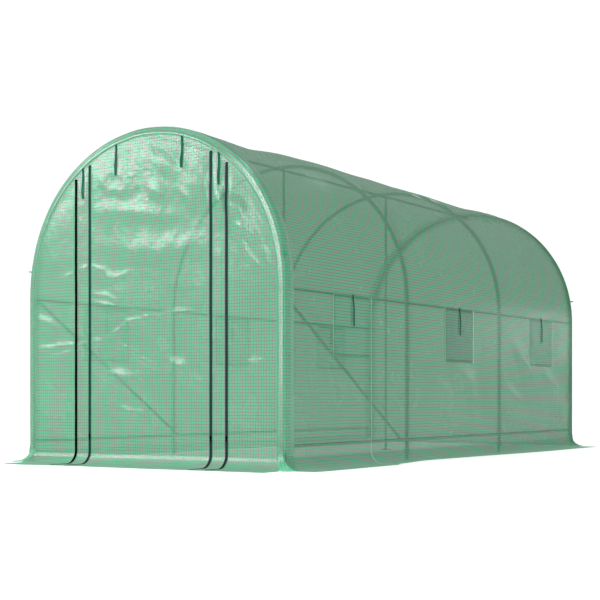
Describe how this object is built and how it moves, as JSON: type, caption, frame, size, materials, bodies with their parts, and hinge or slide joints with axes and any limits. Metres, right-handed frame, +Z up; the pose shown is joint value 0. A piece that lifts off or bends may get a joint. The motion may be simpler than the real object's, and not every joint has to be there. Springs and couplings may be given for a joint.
{
  "type": "polytunnel greenhouse",
  "caption": "Walk-in polytunnel: round steel hoops with ridge and side rails under a translucent green mesh cover with a zipped roll-up door end, side window flaps and a ground skirt.",
  "frame": {"origin": "on the ground, under the middle of the tunnel", "axes": "+Z up, +Y along the tunnel from the zipped door end to the closed end, +X across"},
  "size_m": [2.4, 4.9996, 2.0713],
  "materials": {
    "tube_green": "dark green powder coat on steel tube",
    "cover_mesh": "translucent green woven polyethylene sheet with a square reinforcing grid",
    "hem_band": "doubled sheet, sewn",
    "window_flap": "single sheet flap with light edge strips",
    "insect_net": "fine net",
    "zip_black": "coil zip on a woven tape",
    "tie_tape": "flat woven tape"
  },
  "bodies": {
    "root": {"front_left_leg": "tube_green", "front_right_leg": "tube_green", "second_left_leg": "tube_green", "second_right_leg": "tube_green", "third_left_leg": "tube_green", "third_right_leg": "tube_green", "rear_left_leg": "tube_green", "rear_right_leg": "tube_green", "front_arch": "tube_green", "second_arch": "tube_green", "third_arch": "tube_green", "rear_arch": "tube_green", "ridge_rail": "tube_green", "left_upper_rail": "tube_green", "right_upper_rail": "tube_green", "left_lower_rail": "tube_green", "right_lower_rail": "tube_green", "left_brace": "tube_green", "right_brace": "tube_green", "second_post": "tube_green", "third_post": "tube_green", "left_roof_cover": "cover_mesh", "right_roof_cover": "cover_mesh", "left_wall_cover": "cover_mesh", "right_wall_cover": "cover_mesh", "left_skirt": "cover_mesh", "right_skirt": "cover_mesh", "front_skirt": "cover_mesh", "rear_skirt": "cover_mesh", "front_left_panel": "cover_mesh", "front_right_panel": "cover_mesh", "door_edge_strips": "cover_mesh", "door_panel": "cover_mesh", "rear_panel": "cover_mesh", "front_hem": "hem_band", "rear_hem": "hem_band", "left_window_flaps": "window_flap", "right_window_flaps": "window_flap", "left_window_nets": "insect_net", "right_window_nets": "insect_net", "door_zips": "zip_black", "front_ties": "tie_tape", "left_window_ties": "tie_tape", "right_window_ties": "tie_tape", "corner_tabs": "tie_tape"}
  },
  "joints": []
}
